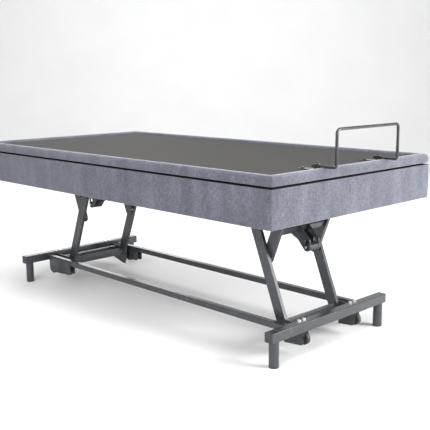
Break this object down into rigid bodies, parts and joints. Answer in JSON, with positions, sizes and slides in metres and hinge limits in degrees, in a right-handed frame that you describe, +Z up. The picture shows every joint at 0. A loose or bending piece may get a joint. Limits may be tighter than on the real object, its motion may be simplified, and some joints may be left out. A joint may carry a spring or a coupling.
{
  "type": "adjustable bed base",
  "caption": "Powered adjustable bed base with a high-low scissor-leg lift, raising back and knee sections, upholstered skirt and border, and a mattress retainer bar.",
  "frame": {"origin": "middle of the bounding box on the floor", "axes": "+X across the bed to its right side seen from the foot end, +Y along the bed to the head end, +Z up"},
  "size_m": [0.965, 1.945, 0.861],
  "materials": {
    "frame_paint": "satin dark grey powder coat",
    "border_fabric": "heathered blue-grey woven upholstery",
    "top_cloth": "matt dark grey non-slip cloth",
    "dark_board": "black-stained boards",
    "wheel_rubber": "matt black",
    "zinc": "bright zinc",
    "rod_chrome": "polished",
    "tube_metal": "satin black",
    "black_plastic": "fine texture",
    "bar_black": "satin black"
  },
  "bodies": {
    "base": {"base_beams": "frame_paint", "base_rails": "frame_paint", "beam_end_caps": "black_plastic", "floor_posts": "frame_paint", "floor_glides": "black_plastic", "foot_leg_brackets": "frame_paint", "head_leg_brackets": "frame_paint", "base_bolts": "zinc", "head_wheel_housings": "frame_paint", "wheel_axles": "frame_paint"},
    "foot_left_wheel_body": {"foot_left_wheel": "wheel_rubber"},
    "foot_right_wheel_body": {"foot_right_wheel": "wheel_rubber"},
    "head_left_wheel_body": {"head_left_wheel": "wheel_rubber"},
    "head_right_wheel_body": {"head_right_wheel": "wheel_rubber"},
    "foot_legs": {"foot_leg_bars": "frame_paint", "foot_leg_cross_tube": "frame_paint", "foot_track_rollers": "black_plastic"},
    "head_legs": {"head_leg_bars": "frame_paint", "head_leg_cross_tube": "frame_paint", "head_track_rollers": "black_plastic"},
    "foot_links": {"foot_link_bars": "frame_paint", "foot_lift_lever": "frame_paint"},
    "head_links": {"head_link_bars": "frame_paint", "head_lift_lever": "frame_paint"},
    "deck": {"deck_rails": "frame_paint", "roller_tracks": "frame_paint", "deck_cross_tubes": "frame_paint", "link_brackets": "frame_paint", "link_pivot_bolts": "zinc", "control_box": "black_plastic", "skirt_boards": "dark_board", "skirt_covers": "border_fabric", "seat_board": "dark_board", "seat_cloth": "top_cloth", "seat_borders": "border_fabric", "seat_hinge_leaves": "zinc", "actuator_tubes": "tube_metal", "actuator_motors": "black_plastic", "actuator_brackets": "frame_paint"},
    "foot_rod": {"foot_lift_rod": "tube_metal"},
    "head_rod": {"head_lift_rod": "tube_metal"},
    "back_push_rod": {"back_rod": "rod_chrome"},
    "knee_push_rod": {"knee_rod": "rod_chrome"},
    "back": {"back_board": "dark_board", "back_cloth": "top_cloth", "back_border": "border_fabric", "back_hinge_leaves": "zinc", "back_lever": "frame_paint"},
    "thigh": {"thigh_board": "dark_board", "thigh_cloth": "top_cloth", "thigh_borders": "border_fabric", "thigh_hinge_leaves": "zinc", "thigh_lever": "frame_paint"},
    "calf": {"calf_board": "dark_board", "calf_cloth": "top_cloth", "calf_border": "border_fabric", "calf_hinge_leaves": "zinc", "retainer_bar": "bar_black", "retainer_clips": "bar_black", "clip_knobs": "bar_black"}
  },
  "joints": [
    {"name": "lift", "type": "hinge", "parent": "base", "child": "foot_legs", "pos_m": [0, -0.712, 0.1], "axis": [-1, 0, 0], "range_deg": [0, 56.6]},
    {"name": "foot_link_fold", "type": "hinge", "parent": "foot_legs", "child": "foot_links", "pos_m": [0, -0.61804, 0.33975], "axis": [-1, 0, 0], "range_deg": [-113.2, 0]},
    {"name": "deck_level", "type": "hinge", "parent": "foot_links", "child": "deck", "pos_m": [0, -0.712, 0.57949], "axis": [-1, 0, 0], "range_deg": [0, 56.6]},
    {"name": "head_lift", "type": "hinge", "parent": "base", "child": "head_legs", "pos_m": [0, 0.711, 0.1], "axis": [1, 0, 0], "range_deg": [0, 56.6]},
    {"name": "head_link_fold", "type": "hinge", "parent": "head_legs", "child": "head_links", "pos_m": [0, 0.61704, 0.33975], "axis": [1, 0, 0], "range_deg": [-113.2, 0]},
    {"name": "foot_lift_stroke", "type": "slide", "parent": "deck", "child": "foot_rod", "axis": [0, 0.8878, 0.4602], "range_m": [0, 0.19058]},
    {"name": "head_lift_stroke", "type": "slide", "parent": "deck", "child": "head_rod", "axis": [0, -0.8878, 0.4602], "range_m": [0, 0.19058]},
    {"name": "back_raise", "type": "hinge", "parent": "deck", "child": "back", "pos_m": [0, 0.2125, 0.702], "axis": [1, 0, 0], "range_deg": [0, 60]},
    {"name": "back_stroke", "type": "slide", "parent": "deck", "child": "back_push_rod", "axis": [0, 1, 0], "range_m": [0, 0.11547]},
    {"name": "thigh_raise", "type": "hinge", "parent": "deck", "child": "thigh", "pos_m": [0, -0.0375, 0.702], "axis": [-1, 0, 0], "range_deg": [0, 35]},
    {"name": "knee_fold", "type": "hinge", "parent": "thigh", "child": "calf", "pos_m": [0, -0.3775, 0.686], "axis": [1, 0, 0], "range_deg": [0, 55]},
    {"name": "knee_stroke", "type": "slide", "parent": "deck", "child": "knee_push_rod", "axis": [0, -1, 0], "range_m": [0, 0.06306]},
    {"name": "foot_left_roll", "type": "hinge", "parent": "base", "child": "foot_left_wheel_body", "pos_m": [-0.161, -0.816, 0.07], "axis": [1, 0, 0], "continuous": true},
    {"name": "foot_right_roll", "type": "hinge", "parent": "base", "child": "foot_right_wheel_body", "pos_m": [0.161, -0.816, 0.07], "axis": [1, 0, 0], "continuous": true},
    {"name": "head_left_roll", "type": "hinge", "parent": "base", "child": "head_left_wheel_body", "pos_m": [-0.215, 0.795, 0.066], "axis": [1, 0, 0], "continuous": true},
    {"name": "head_right_roll", "type": "hinge", "parent": "base", "child": "head_right_wheel_body", "pos_m": [0.215, 0.795, 0.066], "axis": [1, 0, 0], "continuous": true}
  ],
  "couplings": [
    {"joint": "foot_link_fold", "follows": "lift", "ratio": -2},
    {"joint": "deck_level", "follows": "lift", "ratio": 1},
    {"joint": "head_lift", "follows": "lift", "ratio": 1},
    {"joint": "head_link_fold", "follows": "lift", "ratio": -2},
    {"joint": "foot_lift_stroke", "follows": "lift", "m_per_rad": 0.19293},
    {"joint": "head_lift_stroke", "follows": "lift", "m_per_rad": 0.19293},
    {"joint": "back_stroke", "follows": "back_raise", "m_per_rad": 0.11027},
    {"joint": "knee_stroke", "follows": "thigh_raise", "m_per_rad": 0.10323},
    {"joint": "knee_fold", "follows": "thigh_raise", "ratio": 1.57}
  ]
}
